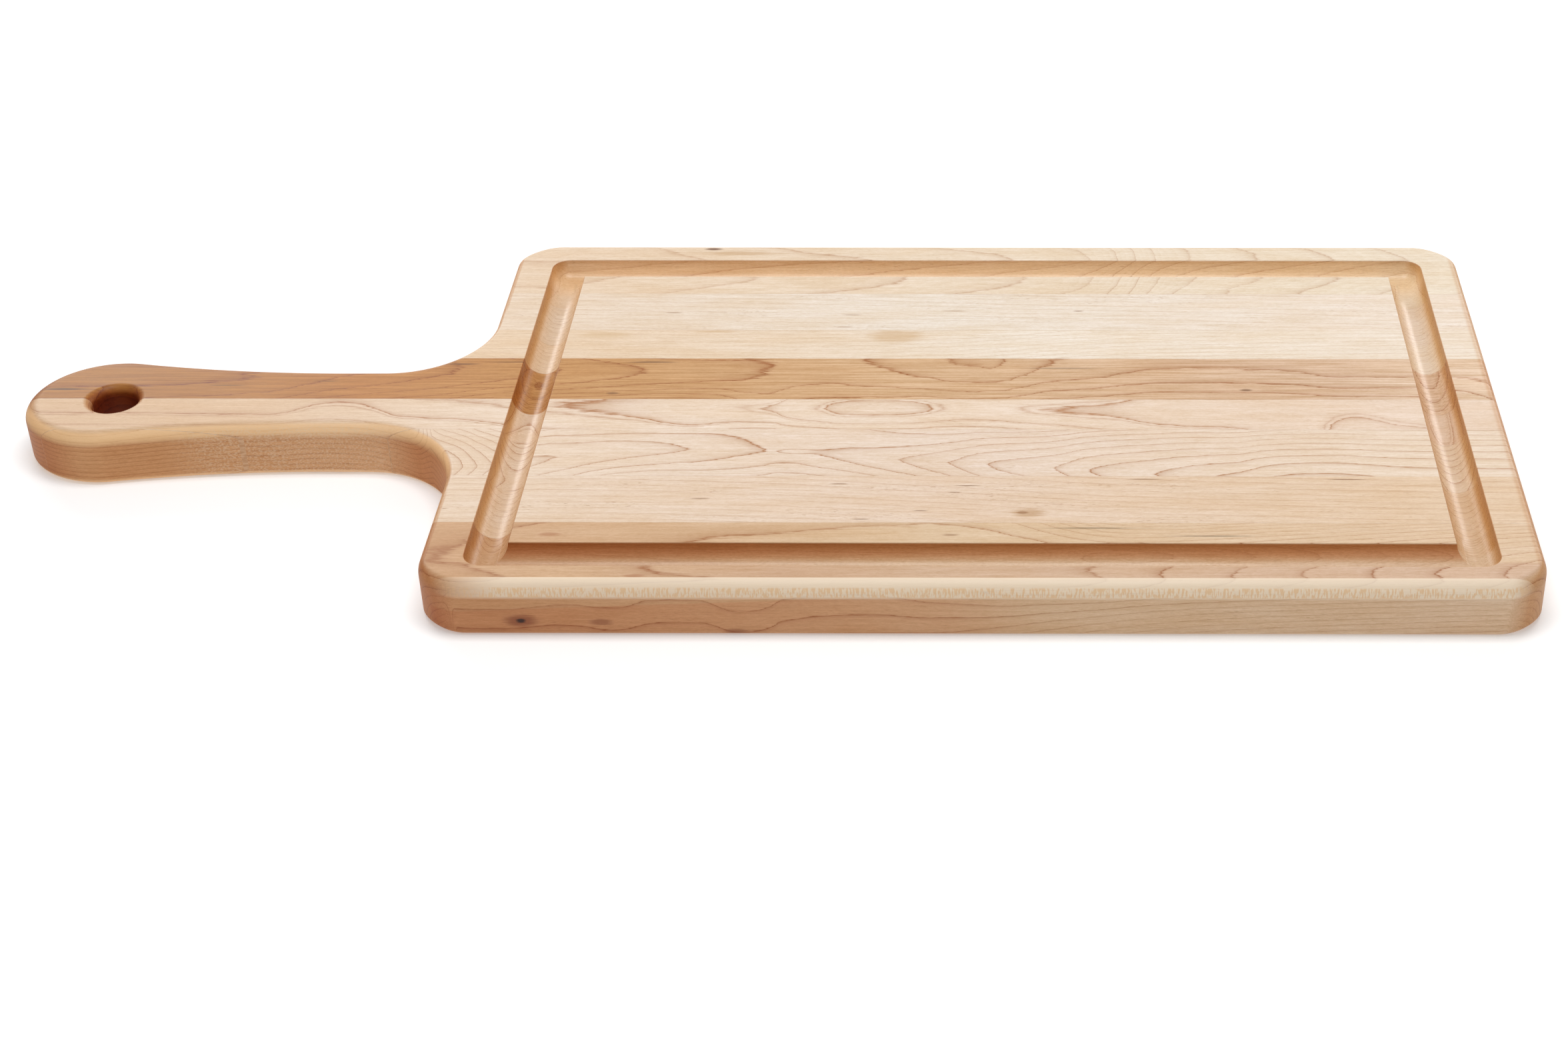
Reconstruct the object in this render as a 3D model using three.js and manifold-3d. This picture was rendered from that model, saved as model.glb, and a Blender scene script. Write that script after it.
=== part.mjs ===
import * as THREE from "three";
import { mergeVertices } from "three/addons/utils/BufferGeometryUtils.js";
import Module from "manifold-3d";

// A paddle-shaped cutting board, edge-glued from eight staves that run along X, handle towards -X.
// It lies on z = 0 with its juice groove facing up. All sizes are in millimetres.

// Body.
const BODY_LENGTH = 355.6;
const BODY_WIDTH = 228.6;
const THICKNESS = 19.05;
const CORNER_RADIUS = 15.9;

// Staves, listed from the far edge (+Y) to the near edge (-Y). The last one takes what is left.
const STAVE_WIDTHS = [40.3, 27.3, 20.5, 28.2, 19.7, 29.4, 27.8];
const GLUE_THICKNESS = 0.12;

// Handle.
const HANDLE_REACH = 154.2; // from the body's end to the tip
const HANDLE_SHIFT = -0.9; // centre line of the handle, in Y
const BULB_HALF_WIDTH = 26.8;
const BULB_HALF_LENGTH = 28.6; // widest place of the bulb to the tip
const NECK_HALF_WIDTH = 19.9;
const NECK_FROM_BODY = 48.4; // narrowest place of the neck to the body's end
const FILLET_RADIUS = 33;

// Hanging hole, with both of its rims rounded over.
const HOLE_FROM_TIP = 30.6;
const HOLE_SHIFT = -2.1;
const HOLE_RADIUS = 7.95;
const HOLE_RIM = 2.9;

// Juice groove: one ball-nosed cut round the body.
const GROOVE_RADIUS = 6.45;
const GROOVE_DEPTH = 6.4;
const RIM_ENDS = 14.35; // groove's outer side to the body's left and right ends
const RIM_FAR = 13.8;
const RIM_NEAR = 10.9;

// Edge rounding: how far it reaches in from the wall (run) and down or up the wall (drop, lift).
const RUN_SIDES = 4.4;
const RUN_ENDS = 2.6;
const RUN_HANDLE = 5.4;
const RUN_CORNER_EXTRA = 0.8;
const TOP_DROP = 4.5;
const TOP_DROP_CORNER_EXTRA = 1;
const BOTTOM_EASE = 1.6;
const BOTTOM_CORNER_EXTRA = 1.2;
const BOTTOM_HANDLE_EXTRA = 0.8;
const TOP_STEPS = 6;
const BOTTOM_STEPS = 3;

const OVERALL = BODY_LENGTH + HANDLE_REACH;
const BODY_RIGHT = OVERALL / 2;
const BODY_LEFT = BODY_RIGHT - BODY_LENGTH;
const HALF_WIDTH = BODY_WIDTH / 2;
const TIP = -OVERALL / 2;

const { sin, cos, sqrt, atan2, abs, PI } = Math;

// Points of the outline with their outward normals, walked anticlockwise seen from above.
function outlinePoints() {
  const points = [];
  // An elliptic arc from angle a0 to a1. The side is -1 where the wood lies outside the arc.
  const arc = (cx, cy, rx, ry, a0, a1, steps, side = 1) => {
    for (let i = 0; i <= steps; i++) {
      const a = a0 + ((a1 - a0) * i) / steps;
      const n = new THREE.Vector2(cos(a) / rx, sin(a) / ry).normalize().multiplyScalar(side);
      points.push({ x: cx + rx * cos(a), y: cy + ry * sin(a), nx: n.x, ny: n.y });
    }
  };
  const r = CORNER_RADIUS;
  arc(BODY_RIGHT - r, HALF_WIDTH - r, r, r, 0, PI / 2, 8);
  arc(BODY_LEFT + r, HALF_WIDTH - r, r, r, PI / 2, PI, 8);

  // The neck is one long hollow arc that meets the bulb and the fillet without a corner.
  const bulbX = TIP + BULB_HALF_LENGTH;
  const neckX = BODY_LEFT - NECK_FROM_BODY;
  const filletX = BODY_LEFT - FILLET_RADIUS;
  const span = neckX - bulbX;
  const neckRadius =
    (span ** 2 + NECK_HALF_WIDTH ** 2 - BULB_HALF_WIDTH ** 2) /
    (2 * (BULB_HALF_WIDTH - NECK_HALF_WIDTH));
  const lean = atan2(span, NECK_HALF_WIDTH + neckRadius);
  const filletY = NECK_HALF_WIDTH + FILLET_RADIUS;
  const neckY = NECK_HALF_WIDTH + neckRadius;
  const y0 = HANDLE_SHIFT;
  arc(filletX, y0 + filletY, FILLET_RADIUS, FILLET_RADIUS, 0, -PI / 2, 12, -1);
  arc(neckX, y0 + neckY, neckRadius, neckRadius, -PI / 2, -PI / 2 - lean, 10, -1);
  const start = PI / 2 - lean;
  arc(bulbX, y0, BULB_HALF_WIDTH, BULB_HALF_WIDTH, start, PI / 2, 2);
  arc(bulbX, y0, BULB_HALF_LENGTH, BULB_HALF_WIDTH, PI / 2, (3 * PI) / 2, 36);
  arc(bulbX, y0, BULB_HALF_WIDTH, BULB_HALF_WIDTH, (3 * PI) / 2, 2 * PI - start, 2);
  arc(neckX, y0 - neckY, neckRadius, neckRadius, PI / 2 + lean, PI / 2, 10, -1);
  arc(filletX, y0 - filletY, FILLET_RADIUS, FILLET_RADIUS, PI / 2, 0, 12, -1);

  arc(BODY_LEFT + r, -HALF_WIDTH + r, r, r, PI, (3 * PI) / 2, 8);
  arc(BODY_RIGHT - r, -HALF_WIDTH + r, r, r, (3 * PI) / 2, 2 * PI, 8);
  return points.filter((p, i) => {
    const q = points[(i + 1) % points.length];
    return Math.hypot(p.x - q.x, p.y - q.y) > 1e-6;
  });
}

// How much each edge is rounded at one point of the outline.
function edgeSizes(p) {
  const onHandle = THREE.MathUtils.smoothstep(BODY_LEFT - p.x, 4, 44);
  const corner = p.x >= BODY_LEFT ? (2 * abs(p.nx * p.ny)) ** 2 : 0;
  const onBody = RUN_ENDS * p.nx ** 2 + RUN_SIDES * p.ny ** 2 + RUN_CORNER_EXTRA * corner;
  return {
    run: THREE.MathUtils.lerp(onBody, RUN_HANDLE, onHandle),
    drop: TOP_DROP + TOP_DROP_CORNER_EXTRA * corner,
    ease: BOTTOM_EASE + BOTTOM_CORNER_EXTRA * corner + BOTTOM_HANDLE_EXTRA * onHandle,
  };
}

// The whole paddle as one solid: rings from the top face over the edge and down to the bottom face.
function paddleGeometry() {
  const outline = outlinePoints();
  const rings = [];
  const ring = (place) => {
    rings.push(
      outline.map((p) => {
        const [inset, z] = place(edgeSizes(p));
        return [p.x - p.nx * inset, p.y - p.ny * inset, z];
      }),
    );
  };
  for (let i = 0; i <= TOP_STEPS; i++) {
    const a = ((PI / 2) * i) / TOP_STEPS;
    ring((e) => [e.run * (1 - sin(a)), THICKNESS - e.drop * (1 - cos(a))]);
  }
  for (let i = 0; i <= BOTTOM_STEPS; i++) {
    const a = ((PI / 2) * i) / BOTTOM_STEPS;
    ring((e) => [e.ease * (1 - cos(a)), e.ease * (1 - sin(a))]);
  }
  const count = outline.length;
  const faces = [];
  for (let k = 0; k + 1 < rings.length; k++) {
    for (let i = 0; i < count; i++) {
      const j = (i + 1) % count;
      const a = k * count + i;
      const b = k * count + j;
      faces.push(a, a + count, b + count, a, b + count, b);
    }
  }
  const capOf = (k, flip) => {
    const contour = rings[k].map(([x, y]) => new THREE.Vector2(x, y));
    for (const [a, b, c] of THREE.ShapeUtils.triangulateShape(contour, [])) {
      const tri = flip ? [a, c, b] : [a, b, c];
      faces.push(...tri.map((v) => v + k * count));
    }
  };
  capOf(0, false);
  capOf(rings.length - 1, true);
  const geometry = new THREE.BufferGeometry();
  geometry.setAttribute("position", new THREE.Float32BufferAttribute(rings.flat(2), 3));
  geometry.setIndex(faces);
  return geometry;
}

const wasm = await Module();
wasm.setup();

function solidFrom(geometry) {
  const g = geometry.clone();
  g.deleteAttribute("normal");
  g.deleteAttribute("uv");
  const merged = mergeVertices(g, 1e-4);
  const vertProperties = new Float32Array(merged.attributes.position.array);
  const triVerts = new Uint32Array(merged.index.array);
  return new wasm.Manifold(new wasm.Mesh({ numProp: 3, vertProperties, triVerts }));
}

// One straight pass of the ball-nosed cutter, from one point to another.
function groovePass(from, to) {
  const length = from.distanceTo(to);
  const pass = new THREE.CapsuleGeometry(GROOVE_RADIUS, length, 10, 36);
  if (abs(to.x - from.x) > abs(to.y - from.y)) pass.rotateZ(PI / 2);
  const middle = from.clone().add(to).multiplyScalar(0.5);
  return pass.translate(middle.x, middle.y, THICKNESS - GROOVE_DEPTH + GROOVE_RADIUS);
}

// The drill and its two round-over rims, as one turned shape about the hole's axis.
function holeCutter() {
  const outer = HOLE_RADIUS + HOLE_RIM;
  const profile = [new THREE.Vector2(0, -2), new THREE.Vector2(outer, -2)];
  const steps = 5;
  for (let i = 0; i <= steps; i++) {
    const a = ((PI / 2) * i) / steps;
    profile.push(new THREE.Vector2(outer - HOLE_RIM * sin(a), HOLE_RIM * (1 - cos(a))));
  }
  for (let i = steps; i >= 0; i--) {
    const a = ((PI / 2) * i) / steps;
    const z = THICKNESS - HOLE_RIM * (1 - cos(a));
    profile.push(new THREE.Vector2(outer - HOLE_RIM * sin(a), z));
  }
  profile.push(new THREE.Vector2(outer, THICKNESS + 2), new THREE.Vector2(0, THICKNESS + 2));
  const cutter = new THREE.LatheGeometry(profile, 48).rotateX(PI / 2);
  return cutter.translate(TIP + HOLE_FROM_TIP, HOLE_SHIFT, 0);
}

let board = solidFrom(paddleGeometry());
const left = BODY_LEFT + RIM_ENDS + GROOVE_RADIUS;
const right = BODY_RIGHT - RIM_ENDS - GROOVE_RADIUS;
const near = -HALF_WIDTH + RIM_NEAR + GROOVE_RADIUS;
const far = HALF_WIDTH - RIM_FAR - GROOVE_RADIUS;
const corners = [
  new THREE.Vector2(left, near),
  new THREE.Vector2(right, near),
  new THREE.Vector2(right, far),
  new THREE.Vector2(left, far),
];
corners.forEach((corner, i) => {
  board = board.subtract(solidFrom(groovePass(corner, corners[(i + 1) % corners.length])));
});
const hole = holeCutter();
board = board.subtract(solidFrom(hole));

// Everything of the board between two planes of constant Y, largest body first.
function strip(yLow, yHigh) {
  const slab = new THREE.BoxGeometry(OVERALL + 20, yHigh - yLow, THICKNESS + 20);
  slab.translate(0, (yLow + yHigh) / 2, THICKNESS / 2);
  const array = slab.attributes.position.array;
  for (let i = 1; i < array.length; i += 3) array[i] = array[i] > (yLow + yHigh) / 2 ? yHigh : yLow;
  const bodies = board.intersect(solidFrom(slab)).decompose();
  return bodies.sort((a, b) => b.volume() - a.volume());
}

const group = new THREE.Group();
group.name = "cutting_board";

function addMesh(name, solid, colour, roughness) {
  const mesh = solid.getMesh();
  const geometry = new THREE.BufferGeometry();
  geometry.setAttribute("position", new THREE.BufferAttribute(mesh.vertProperties, 3));
  geometry.setIndex(new THREE.BufferAttribute(mesh.triVerts, 1));
  geometry.computeVertexNormals();
  const material = new THREE.MeshStandardMaterial({ color: colour, roughness, metalness: 0 });
  const made = new THREE.Mesh(geometry, material);
  made.name = name;
  group.add(made);
}

// Maple colours, one for each stave from far to near.
const STAVE_COLOURS = [
  0xe8cfae, 0xedd8bb, 0xe9d0ae, 0xd3a06c, 0xe8ceae, 0xe3c4a0, 0xe6caa6, 0xdcb78f,
];
const GLUE_COLOUR = 0xb98a58;

// A stave or a glue film that the neck or the hole cuts in two leaves its smaller body on the handle.
const HANDLE_ENDS = { stave_6: "stave_6_cheek", glue_4: "glue_4_tip", glue_5: "glue_5_cheek" };

function addStrip(name, yLow, yHigh, colour, roughness) {
  strip(yLow, yHigh).forEach((body, i) => {
    addMesh(i === 0 ? name : HANDLE_ENDS[name], body, colour, roughness);
  });
}

let yHigh = HALF_WIDTH + 5;
let glueLine = HALF_WIDTH;
STAVE_COLOURS.forEach((colour, i) => {
  const last = i === STAVE_COLOURS.length - 1;
  if (!last) glueLine -= STAVE_WIDTHS[i];
  const yLow = last ? -HALF_WIDTH - 5 : glueLine + GLUE_THICKNESS / 2;
  addStrip("stave_" + (i + 1), yLow, yHigh, colour, 0.55);
  if (last) return;
  yHigh = glueLine - GLUE_THICKNESS / 2;
  addStrip("glue_" + (i + 1), yHigh, yLow, GLUE_COLOUR, 0.4);
});

export default group;
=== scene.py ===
from math import atan2, cos, hypot, pi, radians, sin, sqrt

import bmesh
import bpy
from bpy.props import FloatProperty, FloatVectorProperty, PointerProperty
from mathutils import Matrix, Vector
from mathutils.geometry import tessellate_polygon


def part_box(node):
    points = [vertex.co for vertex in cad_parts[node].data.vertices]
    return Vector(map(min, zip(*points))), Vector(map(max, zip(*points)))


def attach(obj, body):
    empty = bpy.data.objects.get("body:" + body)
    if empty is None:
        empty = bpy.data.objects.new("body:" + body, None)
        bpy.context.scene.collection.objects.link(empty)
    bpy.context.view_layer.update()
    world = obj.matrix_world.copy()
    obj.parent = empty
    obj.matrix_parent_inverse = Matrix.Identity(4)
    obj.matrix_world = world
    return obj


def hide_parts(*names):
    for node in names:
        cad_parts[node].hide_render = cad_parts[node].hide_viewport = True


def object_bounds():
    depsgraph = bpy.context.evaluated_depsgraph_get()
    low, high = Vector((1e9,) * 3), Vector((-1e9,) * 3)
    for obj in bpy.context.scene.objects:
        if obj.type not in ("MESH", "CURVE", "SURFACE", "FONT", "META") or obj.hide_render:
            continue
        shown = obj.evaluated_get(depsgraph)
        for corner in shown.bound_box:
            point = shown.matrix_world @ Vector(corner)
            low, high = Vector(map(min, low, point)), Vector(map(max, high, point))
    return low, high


# A paddle-shaped cutting board, edge-glued from eight maple staves that run along X, with the handle
# towards -X. Lengths are in metres. Only the wood figure is worked out in millimetres, because a
# board maker's rule is marked in them.

bl_info = {
    "name": "Maple Paddle Board",
    "version": (1, 0, 0),
    "blender": (4, 5, 0),
    "location": "View3D > Sidebar > Board",
    "description": "Builds the staves, the glue lines and the stage of a grooved maple cutting board",
    "category": "Object",
}

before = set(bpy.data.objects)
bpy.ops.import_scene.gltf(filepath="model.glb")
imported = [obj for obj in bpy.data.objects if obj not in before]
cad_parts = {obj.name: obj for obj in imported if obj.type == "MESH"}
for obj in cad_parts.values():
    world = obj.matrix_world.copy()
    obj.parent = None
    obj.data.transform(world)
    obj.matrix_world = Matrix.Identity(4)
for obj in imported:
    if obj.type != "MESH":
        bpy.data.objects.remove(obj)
CAD_LOW, CAD_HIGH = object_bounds()

MM = 0.001
THICKNESS = CAD_HIGH[2] - CAD_LOW[2]
TIP = CAD_LOW[0]
BODY_RIGHT = CAD_HIGH[0]
BODY_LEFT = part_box("stave_1")[0].x
HALF_WIDTH = (CAD_HIGH[1] - CAD_LOW[1]) / 2
STAVE_NAMES = ["stave_%d" % number for number in range(1, 9)]
GLUE_NAMES = ["glue_%d" % number for number in range(1, 8)]
# What the neck or the hole cuts off from a stave or a film, and leaves on the handle.
HANDLE_ENDS = {"stave_6": "stave_6_cheek", "glue_4": "glue_4_tip", "glue_5": "glue_5_cheek"}
BLANK = "board_blank"

# Sizes that both the shape and the wood's colours need.
HOLE_FROM_TIP = 30.6 * MM
HOLE_SHIFT = 2.1 * MM
GROOVE_RADIUS = 6.45 * MM
RIM_ENDS = 14.35 * MM

# Points closer than this are one point, and edges shorter than this have no length.
SAME_POINT = 1e-7
NO_LENGTH = 1e-8
# Faces that meet at more than this angle keep a crisp edge.
CRISP_ANGLE = radians(32)


def length(name, default, description):
    return FloatProperty(
        name=name, description=description, default=default, min=0.0, subtype="DISTANCE", unit="LENGTH"
    )


def tint(name, default, description):
    return FloatVectorProperty(
        name=name, description=description, default=default, size=3, min=0.0, max=1.0, subtype="COLOR"
    )


class BoardSizes(bpy.types.PropertyGroup):
    corner_radius: length("Corner radius", 15.9 * MM, "Radius of the body's four corners, seen from above")
    handle_shift: length("Handle shift", 0.9 * MM, "How far the handle's centre line lies to the near side")
    bulb_half_width: length("Bulb half width", 26.8 * MM, "Half the width of the handle's bulb")
    bulb_half_length: length("Bulb half length", 28.6 * MM, "Widest place of the bulb to the tip")
    neck_half_width: length("Neck half width", 19.9 * MM, "Half the width of the handle's narrowest place")
    neck_from_body: length("Neck from body", 48.4 * MM, "Narrowest place of the neck to the body's end")
    fillet_radius: length("Fillet radius", 33.0 * MM, "Radius where the neck runs into the body")
    hole_from_tip: length("Hole from tip", HOLE_FROM_TIP, "Centre of the hanging hole to the tip")
    hole_shift: length("Hole shift", HOLE_SHIFT, "How far the hole lies to the near side of the centre")
    hole_radius: length("Hole radius", 7.95 * MM, "Radius of the hanging hole")
    hole_rim: length("Hole rim", 2.9 * MM, "Rounding of the hanging hole's two rims")
    groove_radius: length("Groove radius", GROOVE_RADIUS, "Radius of the ball-nosed groove cutter")
    groove_depth: length("Groove depth", 6.4 * MM, "Depth of the juice groove")
    groove_lip: length("Groove lip", 0.3 * MM, "Easing of the groove's sharp edges")
    rim_ends: length("Rim at the ends", RIM_ENDS, "Groove to the left and right ends of the body")
    rim_far: length("Rim at the far side", 13.8 * MM, "Groove to the far edge")
    rim_near: length("Rim at the near side", 10.9 * MM, "Groove to the near edge")
    run_sides: length("Round-over of the sides", 4.4 * MM, "Reach of the top rounding on the long sides")
    run_ends: length("Round-over of the ends", 2.6 * MM, "Reach of the top rounding on the body's ends")
    run_handle: length("Round-over of the handle", 5.4 * MM, "Reach of the top rounding on the handle")
    run_corner: length("Extra at corners", 0.8 * MM, "Extra reach of the rounding at the body's corners")
    drop: length("Round-over drop", 4.5 * MM, "How far the top rounding goes down the wall")
    drop_corner: length("Extra drop at corners", 1.0 * MM, "Extra drop of the top rounding at corners")
    ease: length("Bottom easing", 1.6 * MM, "Rounding of the lower edge")
    ease_corner: length("Extra easing at corners", 1.2 * MM, "Extra rounding of the lower edge at corners")
    ease_handle: length("Extra easing on the handle", 0.8 * MM, "Extra rounding under the handle")


class BoardFinish(bpy.types.PropertyGroup):
    growth_line: tint("Growth line", (0.56, 0.33, 0.19), "What late wood multiplies the wood's colour by")
    dash: tint("Vessel dash", (0.36, 0.17, 0.065), "Colour of the short dashes along the grain")
    blotch: tint("Blotch", (0.92, 0.83, 0.70), "What warm blotches multiply the wood's colour by")
    end_grain: tint("End grain", (0.79, 0.58, 0.40), "What end grain multiplies the wood's colour by")
    # The groove tint is partly the burnished groove's own colour and partly painted shade, which is stronger
    # on steep walls.
    groove: tint("Groove", (0.80, 0.60, 0.36), "What the burnished groove multiplies the wood's colour by")
    far_groove: tint("Far groove", (1.0, 0.85, 0.66), "What the groove's far run multiplies by")
    # Painted shade on the steep inner wall of the groove's near run.
    near_groove_shade: tint("Near groove", (0.93, 0.70, 0.57), "What the near run's inner wall multiplies by")
    torn: tint("Torn grain", (0.80, 0.70, 0.58), "What torn grain in the near run multiplies by")
    near_rim: tint("Near rim", (0.89, 0.82, 0.84), "What the flat near rim multiplies by")
    # Painted highlight: this pale cream stands in for the light that the near round-over catches.
    round_over_highlight: tint("Sanded edge", (1.0, 0.85, 0.66), "Colour of the near round-over, sanded back")
    # Painted highlight: this warm colour stands in for the light that the handle's near round-over catches.
    edge_highlight: tint("Handle edge", (1.0, 0.64, 0.325), "Colour of the handle's near round-over")
    fleck: tint("Handle fleck", (0.80, 0.58, 0.38), "Colour of the ray flecks under the handle's near edge")
    heartwood: tint("Heartwood", (0.93, 0.78, 0.69), "What the near wall's brown part multiplies the wood by")
    ray: tint("Ray fleck", (0.82, 0.50, 0.23), "Colour of the ray flecks across the near round-over")
    # Painted shade: this tint darkens the upright faces that look to the near side.
    side: tint("Side", (0.92, 0.66, 0.44), "What the walls that took more oil multiply the wood's colour by")
    # Painted shade: this tint darkens the bore of the deep hanging hole.
    bore_shade: tint("Drill scorch", (0.62, 0.33, 0.165), "What the drilled hole multiplies the wood's colour by")
    glue: tint("Glue", (0.60, 0.42, 0.27), "Colour of the cured glue in a joint")
    roughness: FloatProperty(
        name="Roughness", description="Roughness of the oiled wood", default=0.46, min=0.0, max=1.0,
        subtype="FACTOR",
    )
    relief: FloatProperty(
        name="Grain relief", description="Strength of the grain's bump", default=0.35, min=0.0, max=1.0,
        subtype="FACTOR",
    )


# ---- Shape of the board ----


def smoothstep(value, low, high):
    t = min(max((value - low) / (high - low), 0.0), 1.0)
    return t * t * (3 - 2 * t)


def outline(s):
    """Points of the outline with their outward normals, anticlockwise from above."""
    points = []

    def arc(cx, cy, rx, ry, start, end, steps, side=1):
        # The side is -1 where the wood lies outside the arc.
        for i in range(steps + 1):
            a = start + (end - start) * i / steps
            n = Vector((cos(a) / rx, sin(a) / ry)).normalized() * side
            points.append((cx + rx * cos(a), cy + ry * sin(a), n.x, n.y))

    r = s.corner_radius
    arc(BODY_RIGHT - r, HALF_WIDTH - r, r, r, 0, pi / 2, 24)
    arc(BODY_LEFT + r, HALF_WIDTH - r, r, r, pi / 2, pi, 24)

    # The neck is one long hollow arc that meets the bulb and the fillet without a corner.
    bulb_x = TIP + s.bulb_half_length
    neck_x = BODY_LEFT - s.neck_from_body
    fillet_x = BODY_LEFT - s.fillet_radius
    span = neck_x - bulb_x
    bulb, neck, fillet = s.bulb_half_width, s.neck_half_width, s.fillet_radius
    neck_radius = (span**2 + neck**2 - bulb**2) / (2 * (bulb - neck))
    lean = atan2(span, neck + neck_radius)
    y0 = -s.handle_shift
    arc(fillet_x, y0 + neck + fillet, fillet, fillet, 0, -pi / 2, 36, -1)
    arc(neck_x, y0 + neck + neck_radius, neck_radius, neck_radius, -pi / 2, -pi / 2 - lean, 30, -1)
    arc(bulb_x, y0, bulb, bulb, pi / 2 - lean, pi / 2, 6)
    arc(bulb_x, y0, s.bulb_half_length, bulb, pi / 2, 3 * pi / 2, 96)
    arc(bulb_x, y0, bulb, bulb, 3 * pi / 2, 3 * pi / 2 + lean, 6)
    arc(neck_x, y0 - neck - neck_radius, neck_radius, neck_radius, pi / 2 + lean, pi / 2, 30, -1)
    arc(fillet_x, y0 - neck - fillet, fillet, fillet, pi / 2, 0, 36, -1)

    arc(BODY_LEFT + r, -HALF_WIDTH + r, r, r, pi, 3 * pi / 2, 24)
    arc(BODY_RIGHT - r, -HALF_WIDTH + r, r, r, 3 * pi / 2, 2 * pi, 24)
    following = points[1:] + points[:1]
    return [p for p, q in zip(points, following) if hypot(p[0] - q[0], p[1] - q[1]) > SAME_POINT]


def edge_sizes(s, x, nx, ny):
    """Reach and drop of the top rounding and size of the bottom easing at one outline point."""
    # The handle's fuller rounding fades in over this stretch, measured from the body's left end.
    fade_start, fade_end = 4 * MM, 44 * MM
    on_handle = smoothstep(BODY_LEFT - x, fade_start, fade_end)
    # 1 in the middle of a corner, where the edge runs at 45 degrees, and 0 on the straight sides.
    corner = (2 * abs(nx * ny)) ** 2 if x >= BODY_LEFT else 0.0
    on_body = s.run_ends * nx**2 + s.run_sides * ny**2 + s.run_corner * corner
    run = on_body + (s.run_handle - on_body) * on_handle
    drop = s.drop + s.drop_corner * corner
    ease = s.ease + s.ease_corner * corner + s.ease_handle * on_handle
    return run, drop, ease


def edge_rings(s):
    """Rings of points from the edge of the top face over the rounding and down to the bottom face."""
    top_steps, bottom_steps = 18, 8
    points = outline(s)
    sizes = [edge_sizes(s, x, nx, ny) for x, y, nx, ny in points]
    rings = []
    for i in range(top_steps + 1):
        a = pi / 2 * i / top_steps
        ring = []
        for (x, y, nx, ny), (run, drop, ease) in zip(points, sizes):
            inset = run * (1 - sin(a))
            ring.append((x - nx * inset, y - ny * inset, THICKNESS - drop * (1 - cos(a))))
        rings.append(ring)
    for i in range(bottom_steps + 1):
        a = pi / 2 * i / bottom_steps
        ring = []
        for (x, y, nx, ny), (run, drop, ease) in zip(points, sizes):
            inset = ease * (1 - cos(a))
            ring.append((x - nx * inset, y - ny * inset, ease * (1 - sin(a))))
        rings.append(ring)
    return rings


def groove_profile(s):
    """Distances from the groove's centre line, outer side first, with the depth at each."""
    lip_steps, ball_steps = 5, 22
    rise = s.groove_radius - s.groove_depth
    meet = sqrt(s.groove_radius**2 - (rise + s.groove_lip) ** 2)
    half = []
    for i in range(lip_steps):
        a = pi / 2 * i / lip_steps
        half.append((meet + s.groove_lip * (1 - sin(a)), s.groove_lip * (1 - cos(a))))
    start = atan2(meet, rise + s.groove_lip)
    for i in range(ball_steps + 1):
        a = start * (1 - i / ball_steps)
        half.append((s.groove_radius * sin(a), s.groove_radius * cos(a) - rise))
    return half + [(-d, depth) for d, depth in reversed(half[:-1])]


def groove_rings(s):
    """Rings round the groove: quarter circles at the outer corners, sharp mitres at the inner ones."""
    corner_steps = 16
    left = BODY_LEFT + s.rim_ends + s.groove_radius
    right = BODY_RIGHT - s.rim_ends - s.groove_radius
    near = -HALF_WIDTH + s.rim_near + s.groove_radius
    far = HALF_WIDTH - s.rim_far - s.groove_radius
    corners = [(right, far, 0), (left, far, pi / 2), (left, near, pi), (right, near, 3 * pi / 2)]
    rings = []
    for d, depth in groove_profile(s):
        ring = []
        for cx, cy, start in corners:
            for i in range(corner_steps + 1):
                a = start + pi / 2 * i / corner_steps
                if d < 0:
                    # On the inner side the two straight runs meet in a mitre.
                    diagonal = start + pi / 4
                    x = cx + d * sqrt(2) * cos(diagonal)
                    y = cy + d * sqrt(2) * sin(diagonal)
                else:
                    x, y = cx + d * cos(a), cy + d * sin(a)
                ring.append((x, y, THICKNESS - depth))
        rings.append(ring)
    return rings


def hole_rings(s):
    """Rings down the hanging hole, from the upper lip to the lower one."""
    around, rim_steps = 96, 12
    cx, cy = TIP + s.hole_from_tip, -s.hole_shift
    outer = s.hole_radius + s.hole_rim
    upper = []
    for i in range(rim_steps + 1):
        a = pi / 2 * i / rim_steps
        upper.append((outer - s.hole_rim * sin(a), THICKNESS - s.hole_rim * (1 - cos(a))))
    profile = upper + [(radius, THICKNESS - z) for radius, z in reversed(upper)]
    rings = []
    for radius, z in profile:
        ring = []
        for i in range(around):
            a = 2 * pi * i / around
            ring.append((cx + radius * cos(a), cy + radius * sin(a), z))
        rings.append(ring)
    return rings


def add_rings(bm, rings):
    """Adds rings of vertices and the quads between them, and returns the vertices of every ring."""
    made = [[bm.verts.new(point) for point in ring] for ring in rings]
    for upper, lower in zip(made, made[1:]):
        for i in range(len(upper)):
            j = (i + 1) % len(upper)
            corners = []
            for vert in (upper[i], lower[i], lower[j], upper[j]):
                if all((vert.co - other.co).length > NO_LENGTH for other in corners):
                    corners.append(vert)
            if len(corners) > 2:
                bm.faces.new(corners)
    return made


def add_face(bm, loops):
    """Fills the flat area inside the first loop and outside the others."""
    flat = [vert for loop in loops for vert in loop]
    for a, b, c in tessellate_polygon([[vert.co for vert in loop] for loop in loops]):
        if len({a, b, c}) == 3:
            bm.faces.new((flat[a], flat[b], flat[c]))


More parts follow.
